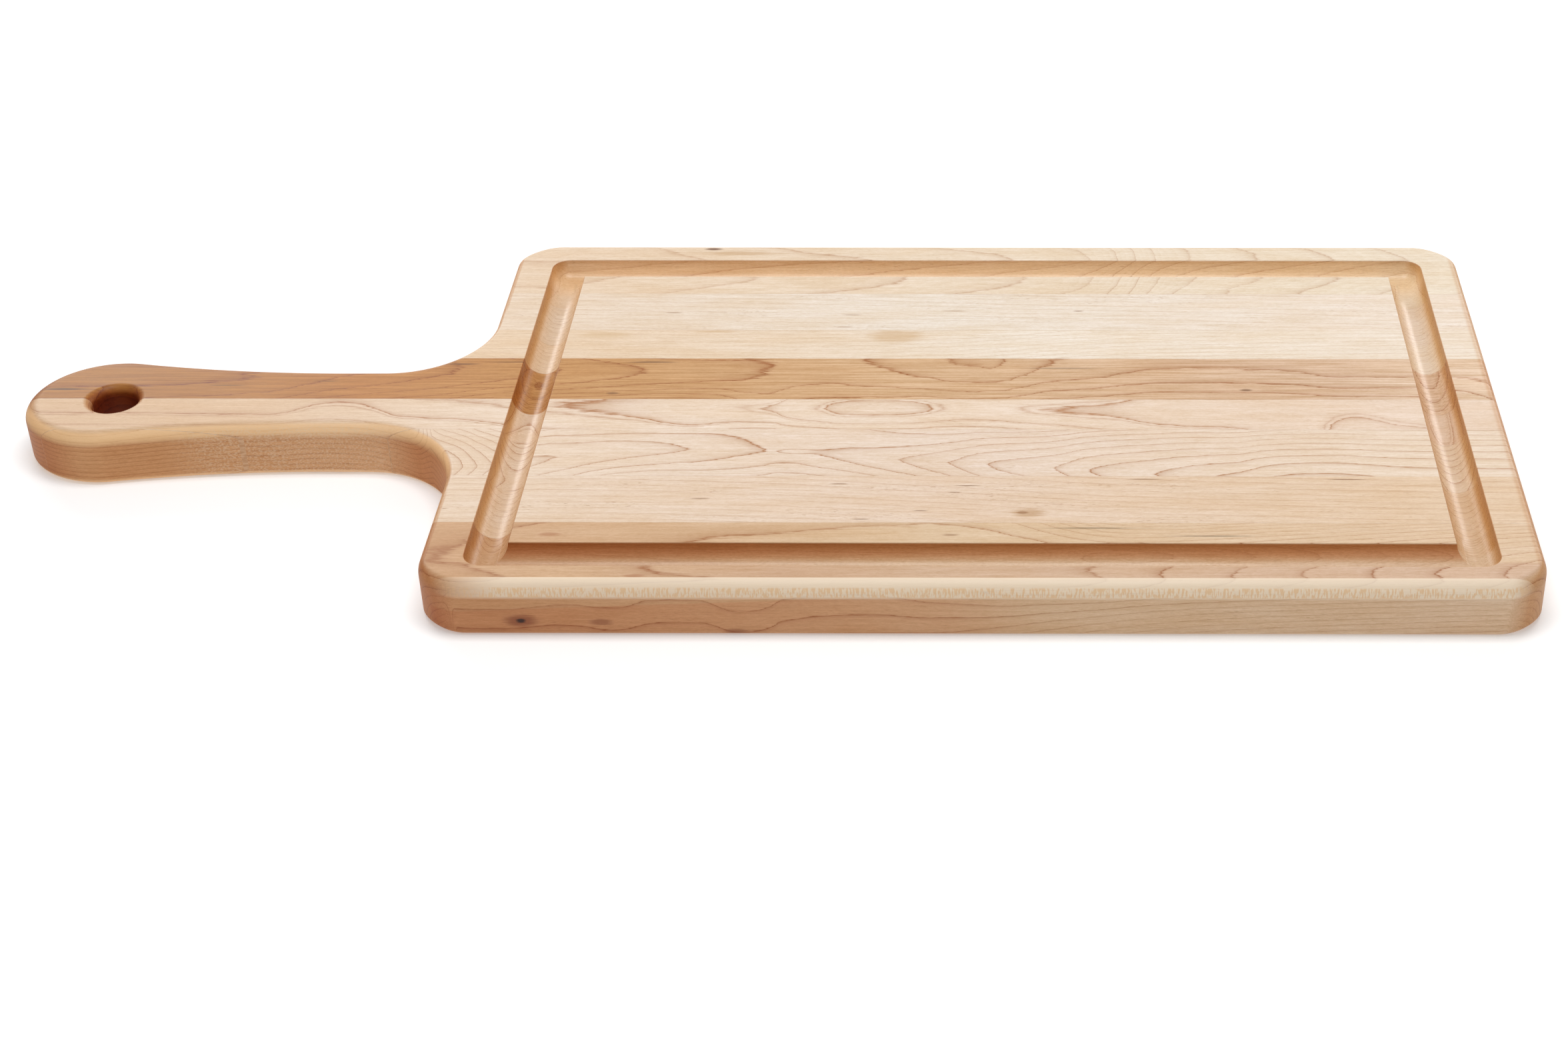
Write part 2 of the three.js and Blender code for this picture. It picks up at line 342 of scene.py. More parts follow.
def shape_blank(s):
    """Makes the whole paddle with its groove and its hole, as one closed mesh."""
    bm = bmesh.new()
    edge = add_rings(bm, edge_rings(s))
    groove = add_rings(bm, groove_rings(s))
    hole = add_rings(bm, hole_rings(s))
    add_face(bm, [edge[0], groove[0], hole[0]])
    add_face(bm, [edge[-1], hole[-1]])
    island = []
    for vert in groove[-1]:
        if not island or (vert.co - island[-1].co).length > NO_LENGTH:
            island.append(vert)
    add_face(bm, [island])
    bmesh.ops.remove_doubles(bm, verts=bm.verts, dist=SAME_POINT)
    bmesh.ops.dissolve_degenerate(bm, edges=bm.edges, dist=NO_LENGTH)
    bmesh.ops.recalc_face_normals(bm, faces=bm.faces)
    mesh = bpy.data.meshes.get(BLANK) or bpy.data.meshes.new(BLANK)
    bm.to_mesh(mesh)
    bm.free()


def keep_side(bm, y, normal_y):
    """Cuts the mesh at a plane of constant Y, drops what lies beyond it and closes the cut."""
    everything = bm.verts[:] + bm.edges[:] + bm.faces[:]
    bmesh.ops.bisect_plane(
        bm, geom=everything, dist=NO_LENGTH, plane_co=(0, y, 0), plane_no=(0, normal_y, 0), clear_outer=True
    )
    rims = [edge for edge in bm.edges if edge.is_boundary]
    if rims:
        bmesh.ops.holes_fill(bm, edges=rims, sides=0)


def islands(bm):
    """Groups of joined vertices, the largest group first."""
    unvisited = set(bm.verts)
    groups = []
    while unvisited:
        group = set()
        waiting = [unvisited.pop()]
        while waiting:
            vert = waiting.pop()
            group.add(vert)
            for link in vert.link_edges:
                other = link.other_vert(vert)
                if other in unvisited:
                    unvisited.discard(other)
                    waiting.append(other)
        groups.append(group)
    return sorted(groups, key=len, reverse=True)


def cut_strip(node):
    """Pieces of the blank between the planes that bound one CAD node in Y, largest piece first."""
    blank = bpy.data.meshes.get(BLANK)
    if blank is None:
        raise RuntimeError("Shape the blank first")
    low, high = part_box(node)
    bm = bmesh.new()
    bm.from_mesh(blank)
    touch = 1e-6
    if high.y < HALF_WIDTH - touch:
        keep_side(bm, high.y, 1)
    if low.y > -HALF_WIDTH + touch:
        keep_side(bm, low.y, -1)
    bmesh.ops.recalc_face_normals(bm, faces=bm.faces)
    cuts = []
    for group in islands(bm):
        part = bm.copy()
        part.verts.ensure_lookup_table()
        keep = {vert.index for vert in group}
        drop = [vert for vert in part.verts if vert.index not in keep]
        bmesh.ops.delete(part, geom=drop, context="VERTS")
        cuts.append(part)
    bm.free()
    return cuts


def add_piece(name, bm, material, node):
    """Turns one cut of the blank into an object that stands for a CAD node."""
    mesh = bpy.data.meshes.new(name)
    bm.to_mesh(mesh)
    bm.free()
    mesh.polygons.foreach_set("use_smooth", [True] * len(mesh.polygons))
    mesh.set_sharp_from_angle(angle=CRISP_ANGLE)
    mesh.materials.append(material)
    piece = bpy.data.objects.new(name, mesh)
    bpy.context.scene.collection.objects.link(piece)
    # The flat faces keep their own normal, so the roundings shade as true arcs.
    weighted = piece.modifiers.new("face_weights", "WEIGHTED_NORMAL")
    weighted.keep_sharp = True
    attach(piece, "root")
    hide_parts(node)


# ---- Shader expressions ----


class Value:
    """A socket that takes part in arithmetic: every operator adds a Math node."""

    def __init__(self, graph, output):
        self.graph = graph
        self.output = output

    def math(self, operation, *values):
        return self.graph.node("ShaderNodeMath", {"operation": operation}, dict(enumerate(values)))

    def __add__(self, other):
        return self.math("ADD", self, other)

    def __sub__(self, other):
        return self.math("SUBTRACT", self, other)

    def __rsub__(self, other):
        return self.math("SUBTRACT", other, self)

    def __mul__(self, other):
        return self.math("MULTIPLY", self, other)

    def __truediv__(self, other):
        return self.math("DIVIDE", self, other)

    def __pow__(self, other):
        return self.math("POWER", self, other)

    def __neg__(self):
        return self.math("MULTIPLY", self, -1.0)

    def __abs__(self):
        return self.math("ABSOLUTE", self)

    __radd__ = __add__
    __rmul__ = __mul__

    def exp(self):
        return self.math("EXPONENT", self)

    def fract(self):
        return self.math("FRACT", self)

    def round(self):
        return self.math("ROUND", self)

    def at_least(self, other):
        return self.math("MAXIMUM", self, other)

    def at_most(self, other):
        return self.math("MINIMUM", self, other)

    def rise(self, low, high):
        """0 below low, 1 above high, smooth between."""
        return self.graph.node(
            "ShaderNodeMapRange", {"interpolation_type": "SMOOTHSTEP"}, {0: self, 1: low, 2: high}
        )


class Graph:
    """The node tree of one material."""

    def __init__(self, name):
        old = bpy.data.materials.get(name)
        if old:
            bpy.data.materials.remove(old)
        self.material = bpy.data.materials.new(name)
        self.material.use_nodes = True
        self.tree = self.material.node_tree
        self.tree.nodes.clear()

    def node(self, kind, settings=None, sockets=None, output=0):
        """Adds a node: its settings first, then what its sockets hold or are linked to."""
        node = self.tree.nodes.new(kind)
        for key, setting in (settings or {}).items():
            if key == "curve":
                self.set_curve(node.mapping, setting)
            elif key == "ramp":
                self.set_ramp(node.color_ramp, setting)
            else:
                setattr(node, key, setting)
        for key, given in (sockets or {}).items():
            if isinstance(given, Value):
                self.tree.links.new(given.output, node.inputs[key])
            else:
                node.inputs[key].default_value = given
        return Value(self, node.outputs[output]) if node.outputs else None

    @staticmethod
    def set_curve(mapping, points):
        curve = mapping.curves[0]
        curve.points[0].location = points[0]
        curve.points[1].location = points[-1]
        for x, y in points[1:-1]:
            curve.points.new(x, y)
        for point in curve.points:
            point.handle_type = "AUTO_CLAMPED"
        mapping.update()

    @staticmethod
    def set_ramp(ramp, stops):
        ramp.elements[1].position = 1.0
        for place, colour in stops[1:-1]:
            ramp.elements.new(place)
        for element, (place, colour) in zip(ramp.elements, stops):
            element.position = place
            element.color = colour

    def vector(self, operation, a, b, output=0):
        return self.node("ShaderNodeVectorMath", {"operation": operation}, {0: a, 1: b}, output)

    def scale(self, vector, factor):
        return self.node("ShaderNodeVectorMath", {"operation": "SCALE"}, {0: vector, 3: factor})

    def length(self, vector):
        return self.node("ShaderNodeVectorMath", {"operation": "LENGTH"}, {0: vector}, 1)

    def split(self, vector):
        node = self.node("ShaderNodeSeparateXYZ", None, {0: vector}).output.node
        return [Value(self, output) for output in node.outputs]

    def join(self, x, y, z):
        return self.node("ShaderNodeCombineXYZ", None, {0: x, 1: y, 2: z})

    def mix(self, factor, a, b, blend="MIX"):
        """Mixes two colours."""
        a, b = [c if isinstance(c, Value) else (*c, 1.0) for c in (a, b)]
        return self.node(
            "ShaderNodeMix", {"data_type": "RGBA", "blend_type": blend}, {0: factor, 6: a, 7: b}, 2
        )

    def stain(self, factor, colour, tint):
        """Multiplies a colour by a tint, as far as the factor says."""
        return self.mix(factor, colour, tint, "MULTIPLY")

    def blend(self, factor, a, b):
        """Mixes two numbers."""
        return self.node("ShaderNodeMix", {"data_type": "FLOAT"}, {0: factor, 2: a, 3: b})

    def stations(self, x, tints):
        """Colours at listed places along X, blended between them."""
        first, span = tints[0][0], tints[-1][0] - tints[0][0]
        stops = [((place - first) / span, (*colour, 1.0)) for place, colour in tints]
        return self.node("ShaderNodeValToRGB", {"ramp": stops}, {"Fac": (x - first) / span})

    def noise(self, place, grain, detail=2.0, roughness=0.5):
        """Soft noise whose features are about as long in X, Y and Z as the grain says."""
        stretched = self.vector("MULTIPLY", place, tuple(1 / size for size in grain))
        return self.node(
            "ShaderNodeTexNoise",
            {"noise_dimensions": "3D"},
            {"Vector": stretched, "Scale": 1.0, "Detail": detail, "Roughness": roughness},
        )

    def along(self, x, points):
        """A smooth curve through given points (place, height)."""
        places = [point[0] for point in points]
        heights = [point[1] for point in points]
        first, span = places[0], places[-1] - places[0]
        low, rise = min(heights), max(max(heights) - min(heights), 1e-6)
        curve = [((place - first) / span, (height - low) / rise) for place, height in points]
        inside = (x - first) / span
        return self.node("ShaderNodeFloatCurve", {"curve": curve}, {"Value": inside}) * rise + low

    def finish(self, colour, roughness, relief, strength, depth, constants):
        """Closes the tree: a shader with this colour and roughness, and bumps as deep as given."""
        sockets = {"Strength": strength, "Distance": depth, "Height": relief}
        bump = self.node("ShaderNodeBump", None, sockets)
        sockets = {"Base Color": colour, "Roughness": roughness, "Normal": bump, **constants}
        shader = self.node("ShaderNodeBsdfPrincipled", None, sockets)
        self.node("ShaderNodeOutputMaterial", None, {"Surface": shader})


# ---- Wood ----

# Lengths in this section are in millimetres, measured from the middle of the board's underside.
TOP_MM = THICKNESS / MM
FRONT_MM = -HALF_WIDTH / MM
BODY_LEFT_MM = BODY_LEFT / MM
BODY_RIGHT_MM = BODY_RIGHT / MM
BODY_MIDDLE_MM = (BODY_RIGHT_MM + BODY_LEFT_MM) / 2
BODY_HALF_MM = (BODY_RIGHT_MM - BODY_LEFT_MM) / 2
HOLE_MM = ((TIP + HOLE_FROM_TIP) / MM, -HOLE_SHIFT / MM, 0)
# The groove's two cross runs lie this far to the left and right of the body's middle.
CROSS_RUN_MM = BODY_HALF_MM - (RIM_ENDS + GROOVE_RADIUS) / MM
# How far in from the near edge the near round-over, with its painted highlight, reaches.
NEAR_ROUND_OVER_MM = 4.45

LEVEL = [(-260, 0.0), (260, 0.0)]

# Colours of marks that come more than once.
VESSEL_BROWN = (0.30, 0.14, 0.06)
MINERAL_BROWN = (0.20, 0.09, 0.04)
GUM_BROWN = (0.20, 0.09, 0.03)
DARK_STREAK = (0.16, 0.07, 0.03)
RED_STREAK = (0.42, 0.17, 0.07)
GREY_STREAK = (0.14, 0.09, 0.04)
PALE_DASH = (0.24, 0.11, 0.05)


class Figure:
    """How one stave's growth rings run, with lengths in millimetres and ring heights in rings.

    A ring line shows wherever the ring height is a whole number. The height is ring(x) on the heart
    line heart(x), grows with the square of the distance from that line by tight(x), and changes by
    sink(x) for every millimetre of depth, so the same rings show on every cut face.
    """

    ring = LEVEL
    heart = LEVEL
    tight = LEVEL
    sink = [(-260, 0.3), (260, 0.3)]
    twist = (0.0, 0.0)  # extra sink for every millimetre across, and the place across where it is 0
    across = 0.0  # rings for every millimetre across the stave
    point = 0.0  # how pointed the tongues are, in rings for every millimetre across
    swells = ()  # local rises: x, y, reach along, reach across, rings
    wander = 0.3  # slow wandering of the lines, in rings
    feather = 0.16  # fraying of the lines along the fibres, in rings
    line = 0.5  # darkness of the growth lines
    twin = 0.0  # darkness of a second line beside each growth line
    fine = 0.5  # strength of the faint rings between the growth lines
    dashes = 0.4  # strength of the short vessel dashes
    blotch = 0.5  # strength of the warm blotches
    streaks = 0.3  # strength of the long light and dark streaks
    side = 0.8  # how much painted shade darkens the upright near faces
    flecks = None  # ray flecks under the handle's near edge: x, reach, strength
    glow = 0.0  # strength of the painted highlight along the handle's near round-over, on staves with flecks only
    marks = ()  # knots, stains and streaks: centre, reach, colour, strength
    wall = None  # the near wall's own curves, on the near stave only

    def __init__(self, tints, **given):
        self.tints = tints
        for name, value in given.items():
            setattr(self, name, value)


FIGURES = {
    "stave_1": Figure(
        [(-100, (0.80, 0.62, 0.455)), (60, (0.82, 0.675, 0.52)), (220, (0.84, 0.715, 0.56))],
        ring=[
            (-260, 0), (-100, 0), (-20, 1.2), (60, 2.6), (110, 4), (150, 8), (200, 10), (260, 12),
        ],
        heart=[(-260, 78), (260, 78)],
        tight=[(-260, 0.002), (60, 0.002), (130, 0.0015), (260, 0.002)],
        sink=[(-260, 0.25), (260, 0.25)],
        across=-0.05, line=0.32, wander=0.7,
        marks=[
            ((-27, 109.5, 18), (4.5, 1.4, 4), (0.16, 0.06, 0.03), 0.85),
            ((-17, 106, 19), (22, 2.0, 4), (0.55, 0.33, 0.15), 0.55),
            ((-42, 90.3, 19), (34, 0.5, 2), (0.42, 0.22, 0.10), 0.6),
        ],
    ),
    "stave_2": Figure(
        [(-100, (0.81, 0.655, 0.51)), (60, (0.84, 0.74, 0.63)), (220, (0.865, 0.74, 0.62))],
        heart=[(-260, 66), (0, 60), (100, 56), (260, 50)],
        across=0.30, line=0.26, wander=0.9, dashes=0.7,
        marks=[
            ((-37, 59.5, 19), (4, 0.35, 3), VESSEL_BROWN, 0.8),
            ((28, 58, 19), (4.5, 0.35, 3), VESSEL_BROWN, 0.7),
            ((66, 61, 19), (5.5, 0.35, 3), (0.34, 0.17, 0.07), 0.7),
            ((26, 49, 19), (4, 0.35, 3), VESSEL_BROWN, 0.7),
            ((111, 61, 19), (2.5, 0.5, 3), (0.28, 0.13, 0.06), 0.8),
        ],
    ),
    "stave_3": Figure(
        [
            (-100, (0.80, 0.61, 0.43)), (-20, (0.82, 0.66, 0.50)), (80, (0.86, 0.75, 0.625)),
            (220, (0.87, 0.75, 0.62)),
        ],
        heart=[(-260, 40), (0, 38), (60, 40), (140, 50), (260, 54)],
        across=0.36, line=0.3, wander=1.1, dashes=0.3,
        marks=[
            ((45, 42.5, 19), (13, 6.5, 6), (0.62, 0.40, 0.20), 0.55),
            ((-60, 43, 19), (12, 3.5, 6), (0.66, 0.45, 0.24), 0.45),
            ((-20, 45.5, 19), (10, 1.5, 6), (0.60, 0.38, 0.18), 0.4),
        ],
    ),
    "stave_4": Figure(
        [
            (-200, (0.43, 0.18, 0.035)), (-140, (0.49, 0.205, 0.05)), (-80, (0.56, 0.285, 0.10)),
            (40, (0.675, 0.435, 0.245)), (200, (0.70, 0.485, 0.33)), (250, (0.80, 0.59, 0.42)),
        ],
        ring=[
            (-260, -5.4), (-195, -5.2), (-178, -5.0), (-145, -4.2), (-107, -3.0), (-72, -2.0),
            (-41, -0.95), (-20, -0.55), (2, 0), (17, 0.3), (34, 0), (57, -0.68), (73, -1.12),
            (90, -0.6), (101, 0), (115, 0.2), (130, 0.65), (142, 0.8), (180, 0.75), (205, 0.3), (260, 0.4),
        ],
        heart=[(-260, 14), (-178, 15), (-140, 20), (-107, 19), (-41, 17.5), (0, 20.5), (30, 27), (260, 27)],
        tight=[
            (-260, 0.005), (-120, 0.006), (-70, 0.011), (-41, 0.011), (-5, 0.004), (18, 0.0022),
            (40, 0.0028), (73, 0.0038), (215, 0.0038), (260, 0.0012),
        ],
        sink=[(-260, -0.28), (260, -0.28)],
        swells=[(79, 24, 3, 7, -0.25)],
        line=0.85, feather=0.3, streaks=1.15, side=0.9,
        marks=[
            ((-243, 4.4, 19), (11, 0.9, 4), (0.10, 0.045, 0.02), 0.8),
            ((-153, 10, 19), (6, 0.5, 4), GUM_BROWN, 0.7),
            ((-187, 7, 19), (8, 0.6, 4), GUM_BROWN, 0.6),
            ((-108, 22, 19), (9, 0.7, 4), DARK_STREAK, 0.7),
            ((-40, 23.5, 19), (11, 0.7, 4), DARK_STREAK, 0.75),
            ((-52, 2, 19), (3, 1.1, 4), (0.22, 0.10, 0.04), 0.7),
            ((104, 19.5, 19), (17, 0.6, 4), (0.24, 0.17, 0.12), 0.55),
            ((168, 4.5, 19), (3, 1.0, 4), MINERAL_BROWN, 0.8),
            ((-86, 23.5, 19), (17, 0.6, 4), GUM_BROWN, 0.7),
        ],
    ),
    "stave_5": Figure(
        [
            (-200, (0.69, 0.47, 0.29)), (-80, (0.84, 0.68, 0.54)), (80, (0.84, 0.68, 0.54)),
            (220, (0.83, 0.65, 0.51)),
        ],
        ring=[
            (-260, 2.15), (-170, 2.15), (-145, 2.8), (-120, 2.1), (-72, 2.0), (-50, 1.9), (-25, 1.4),
            (3.5, 1.0), (10, 0.5), (20, 0.13), (39, -0.28), (63, 0.13), (75, 0.35), (91, 0.13),
            (100, 0), (118, -0.1), (140, -0.6), (157, -0.72), (175, -0.64), (200, -0.6), (260, -0.55),
        ],
        heart=[(-260, 5), (-110, 2), (-72, -5), (0, -8), (60, -7.5), (100, -9), (260, -9)],
        tight=[
            (-260, 0.0033), (-110, 0.0033), (-25, 0.005), (5, 0.0114), (90, 0.0114), (118, 0.0067),
            (157, 0.0059), (190, 0.0005), (260, 0.0005),
        ],
        sink=[(-260, 0.55), (-140, 0.5), (-90, 0.3), (260, 0.3)],
        swells=[(204, -26, 11, 12, -1.15), (224, -24, 15, 7, -0.62)],
        line=0.70, twin=0.45, wander=0.12, flecks=(-160, 45, 0.5), side=1.0, glow=0.6,
    ),
    "stave_6": Figure(
        [
            (-200, (0.69, 0.47, 0.29)), (-80, (0.82, 0.655, 0.51)), (80, (0.825, 0.67, 0.55)),
            (220, (0.84, 0.68, 0.53)),
        ],
        ring=[
            (-260, -9.6), (-120, -9.6), (-110, -7), (-101, -6), (-91, -4), (-82, -2.7), (-66, -2),
            (-40, -1.5),
            (-23, -1), (3, 0), (12, 0.35), (22, 0), (49, -1), (66, -2), (79, -3),
            (101, -4), (113, -5), (134, -6), (160, -7.4), (190, -8.6), (215, -8.2), (260, -8),
        ],
        heart=[
            (-260, -22), (-120, -40), (-95, -46), (-66, -40), (-23, -34.5), (10, -36), (50, -41.5),
            (80, -44.5), (134, -50), (190, -56), (260, -56),
        ],
        tight=[
            (-260, 0.0), (-120, 0.0), (-105, 0.006), (-72, 0.005), (-40, 0.008), (0, 0.004), (50, 0.009),
            (80, 0.008), (134, 0.005), (260, 0.004),
        ],
        sink=[(-260, 0.6), (-130, 0.6), (-90, 0.3), (260, 0.3)],
        point=0.07,
        swells=[(40, -20, 45, 8, -2.5), (14, -36, 5.5, 1.6, -0.9)],
        flecks=(-160, 45, 0.5), side=1.0, glow=0.6,
        line=0.75, wander=0.15,
    ),
    "stave_7": Figure(
        [(-100, (0.81, 0.64, 0.49)), (60, (0.81, 0.635, 0.495)), (220, (0.79, 0.59, 0.41))],
        heart=[(-260, -60), (-60, -60), (0, -62), (60, -67), (140, -74), (260, -78)],
        across=0.30, line=0.32, wander=0.7, dashes=1.0,
        marks=[
            ((92, -73, 19), (7.5, 3.4, 5), (0.50, 0.28, 0.12), 0.6),
            ((90, -73, 19), (2.4, 1.2, 5), (0.30, 0.13, 0.05), 0.6),
            ((72, -57, 19), (5, 0.4, 3), MINERAL_BROWN, 0.8),
            ((68, -61, 19), (3, 0.35, 3), MINERAL_BROWN, 0.7),
            ((30, -56, 19), (4, 0.35, 3), PALE_DASH, 0.8),
            ((38, -77, 19), (4, 0.35, 3), MINERAL_BROWN, 0.8),
            ((-15, -65, 19), (4, 0.35, 3), PALE_DASH, 0.7),
            ((57, -72, 19), (3, 0.35, 3), (0.22, 0.10, 0.05), 0.8),
            ((130, -53, 19), (7, 0.4, 3), (0.26, 0.12, 0.05), 0.7),
            ((197, -53, 19), (8, 0.45, 3), (0.26, 0.12, 0.05), 0.8),
        ],
    ),
    "stave_8": Figure(
        [(-100, (0.63, 0.375, 0.205)), (60, (0.73, 0.535, 0.35)), (220, (0.77, 0.57, 0.39))],
        ring=[(-260, -1.5), (-95, -1), (-30, 0), (60, 0.6), (108, 1), (133, 2), (178, 4), (240, 7), (260, 8)],
        heart=[(-260, -97), (60, -99), (150, -108), (260, -108)],
        tight=[(-260, -0.0014), (60, -0.0016), (140, -0.01), (260, -0.01)],
        sink=[(-260, 0.0), (260, 0.0)],
        twist=(-0.041, -102.5),
        line=0.6, side=0.65,
        marks=[
            ((-67, -114.3, 5.5), (7, 5, 3.4), (0.30, 0.11, 0.05), 0.8),
            ((-67, -114.3, 5.5), (2.2, 3, 1.1), (0.03, 0.012, 0.01), 0.95),
            ((-42, -114.3, 5), (5, 3, 1.6), (0.30, 0.12, 0.06), 0.6),
            ((0, -114.3, 1.5), (5, 3, 1.4), (0.30, 0.12, 0.06), 0.6),
            ((-61, -86, 19), (5, 1.5, 4), RED_STREAK, 0.6),
            ((-31, -109, 19), (5, 1.3, 4), RED_STREAK, 0.6),
            ((67, -86, 19), (3.5, 0.8, 4), VESSEL_BROWN, 0.6),
            ((112, -82, 19), (22, 0.5, 4), GREY_STREAK, 0.6),
            ((150, -86.5, 19), (18, 0.5, 4), GREY_STREAK, 0.6),
        ],
        wall=dict(
            heartwood=[(-115, 8.6), (-95, 9), (-50, 11), (0, 13), (50, 14.6), (110, 14)],
            wave=[
                (-105, 3), (-90, 2.5), (-75, 2), (-52, 3.6), (-40, 2.3), (-25, 5), (-12, 5.2), (2, 0.8),
                (15, 5), (45, 8), (65, 7), (100, 9), (150, 13), (260, 17),
            ],
            crowd=[(-105, 0.13), (0, 0.12), (50, 0.15), (90, 0.28), (150, 0.45), (260, 0.5)],
        ),
    ),
}


class Surface:
    """Where a place on the board is, in millimetres, and which way its face looks."""

    def __init__(self, g):
        self.place = g.scale(g.node("ShaderNodeTexCoord", output=3), 1 / MM)
        self.x, self.y, self.z = g.split(self.place)
        nx, self.ny, nz = g.split(g.node("ShaderNodeTexCoord", output=1))
        # 0 on a level face and 1 on an upright one.
        self.steep = 1 - abs(nz)
        # 1 on a face that looks along the grain, so that end grain shows.
        self.end_on = (abs(nx) * 2.3 - 0.3).at_least(0.0).at_most(1.0)
        # 1 on an upright face that looks to the near side.
        self.near_facing = self.steep * (0.4 - self.ny).rise(0.0, 0.8)


class StaveSurface(Surface):
    """A surface that also knows which part of the board it is on."""

    def __init__(self, g):
        super().__init__(g)
        self.groove = groove_mask(self)
        self.outside = 1 - self.groove
        # 1 on the groove's near and far runs, and on the rims beyond them.
        self.near = (-self.y).rise(88.0, 90.0)
        self.far = self.y.rise(80.0, 92.0)


def groove_mask(at):
    """1 on the groove's own surface, 0 on the top face and on the outside of the board."""
    inset = 8.0
    inside = (BODY_HALF_MM - inset - abs(at.x - BODY_MIDDLE_MM)).rise(0.0, 0.5)
    inside = inside * (-FRONT_MM - inset - abs(at.y)).rise(0.0, 0.5)
    return (TOP_MM - at.z).rise(0.15, 0.6) * (at.z - 5.0).rise(0.0, 1.0) * inside


def hole_mask(g, at):
    """1 down in the hanging hole, fading out over its rounded rim."""
    away = g.vector("MULTIPLY", g.vector("SUBTRACT", at.place, HOLE_MM), (1, 1, 0))
    distance = g.length(away)
    return (1 - distance.rise(8.2, 10.6)) * (TOP_MM - 0.3 - at.z).rise(0.0, 4.0)


def ring_height(g, at, look, fibre):
    """The ring height at a place, with its slow wandering and the fibres' fraying."""
    off = at.y - g.along(at.x, look.heart)
    height = g.along(at.x, look.ring) + off * off * g.along(at.x, look.tight)
    if look.point:
        height = height + ((off * off + 1) ** 0.5 - 1) * look.point
    if look.across:
        height = height + off * look.across
    sink = g.along(at.x, look.sink)
    twist, untwisted_y = look.twist
    if twist:
        sink = sink + (at.y - untwisted_y) * twist
    height = height + (TOP_MM - at.z) * sink
    for middle_x, middle_y, reach_x, reach_y, rise in look.swells:
        offset = g.vector("SUBTRACT", at.place, (middle_x, middle_y, 0))
        away = g.vector("MULTIPLY", offset, (1 / reach_x, 1 / reach_y, 0))
        height = height + (-g.vector("DOT_PRODUCT", away, away, 1)).exp() * rise
    if look.wall:
        # The near wall shows its own rings, which run over waves and crowd together to the right.
        on_wall = (FRONT_MM + 1.2 - at.y).rise(0.0, 1.0)
        wall = (at.z - g.along(at.x, look.wall["wave"])) * g.along(at.x, look.wall["crowd"])
        height = g.blend(on_wall, height, wall)
    slow = g.noise(at.place, (70, 16, 16), detail=1.0) - 0.5
    brisk = g.noise(at.place, (14, 4, 4), detail=2.0) - 0.5
    return height + slow * look.wander + brisk * 0.16 + (fibre - 0.5) * look.feather


def ring_lines(g, look, height):
    """Late wood: crisp on one side of the ring's edge and soft on the other, each ring its own."""
    t = height.fract()
    crisp = ((t - 1) * 34).exp()
    soft = ((t - 1) * 9).exp() * 0.42
    edge = crisp.at_least(soft).at_least((t * -60).exp())
    if look.twin:
        edge = edge.at_least((abs(t - 0.13) * -40).exp() * look.twin)
    own = g.node("ShaderNodeTexWhiteNoise", {"noise_dimensions": "1D"}, {"W": height.round()})
    return edge * (own * 0.45 + 0.7)


def sawn_colour(g, at, look, finish, fibre, streaks, height):
    """The stave's colour along its length, with blotches, fibres, streaks, pores and faint rings."""
    colour = g.stations(at.x, look.tints)
    warmer = g.stain(1.0, colour, finish.blotch)
    blotches = g.noise(at.place, (40, 9, 9), detail=3.0).rise(0.3, 0.75)
    colour = g.mix(blotches * look.blotch, colour, warmer)
    pores = g.noise(at.place, (1.5, 0.22, 0.22), detail=2.0, roughness=0.7) - 0.5
    faint_rings = ((height * 4.0).fract() - 0.5) * look.fine
    light = (fibre - 0.5) * 0.42 + streaks * look.streaks + pores * 0.5 - faint_rings * 0.09
    # Wood that is darker is also browner, so blue swings more than green and red less.
    uneven = g.join(1.0 + light * 0.7, 1.0 + light, 1.0 + light * 1.5)
    return g.mix(1.0, colour, uneven, "MULTIPLY")


def drawn_lines(g, at, look, lines):
    """How dark the growth lines are: they fade here and there, and in the groove's near run."""
    fade = g.noise(at.place, (40, 12, 12), detail=1.0).rise(0.2, 0.55) * 0.45 + 0.55
    return (lines * fade * look.line * 1.9).at_most(1.0) * (1 - at.groove * at.near * 0.7)


def vessel_dashes(g, at):
    """Short dashes along the grain, gathered in patches."""
    cells = g.noise(at.place, (2.6, 0.26, 0.26), detail=1.0).rise(0.64, 0.76)
    patches = g.noise(at.place, (50, 8, 8), detail=2.0).rise(0.45, 0.7)
    return cells * patches


def mark_colour(g, at, colour, mark, fibre):
    """A knot, a stain or a mineral streak: an ellipse with a frayed edge."""
    centre, reach, paint, strength = mark
    away = g.vector("DIVIDE", g.vector("SUBTRACT", at.place, centre), reach)
    frayed = g.length(away) + (fibre - 0.5) * 0.8
    return g.mix((1 - frayed.rise(0.35, 1.0)) * strength, colour, paint)


def end_grain(at):
    """How much end grain shows: on faces that look along the grain, and over the ends' round edges."""
    right = (at.x - BODY_RIGHT_MM).rise(-4.0, -2.4)
    left = (BODY_LEFT_MM - at.x).rise(-2.8, -2.3) * (at.x - BODY_LEFT_MM).rise(-0.5, 0.0)
    # The left end stops where the handle runs into the body.
    shoulders = left * abs(at.y).rise(56.0, 66.0)
    return at.end_on.at_least(right * 0.6 + shoulders * 0.8) * at.outside


def near_face_shade(g, at, colour, look, finish):
    """Painted shade on the upright faces that look to the near side. On the near wall the painted shade fades
    to the right.
    """
    side = at.near_facing * at.outside
    if look.wall:
        side = side * (1.0 - at.x.rise(-40.0, 170.0) * 0.75)
    return g.stain(side * look.side, colour, finish.side)


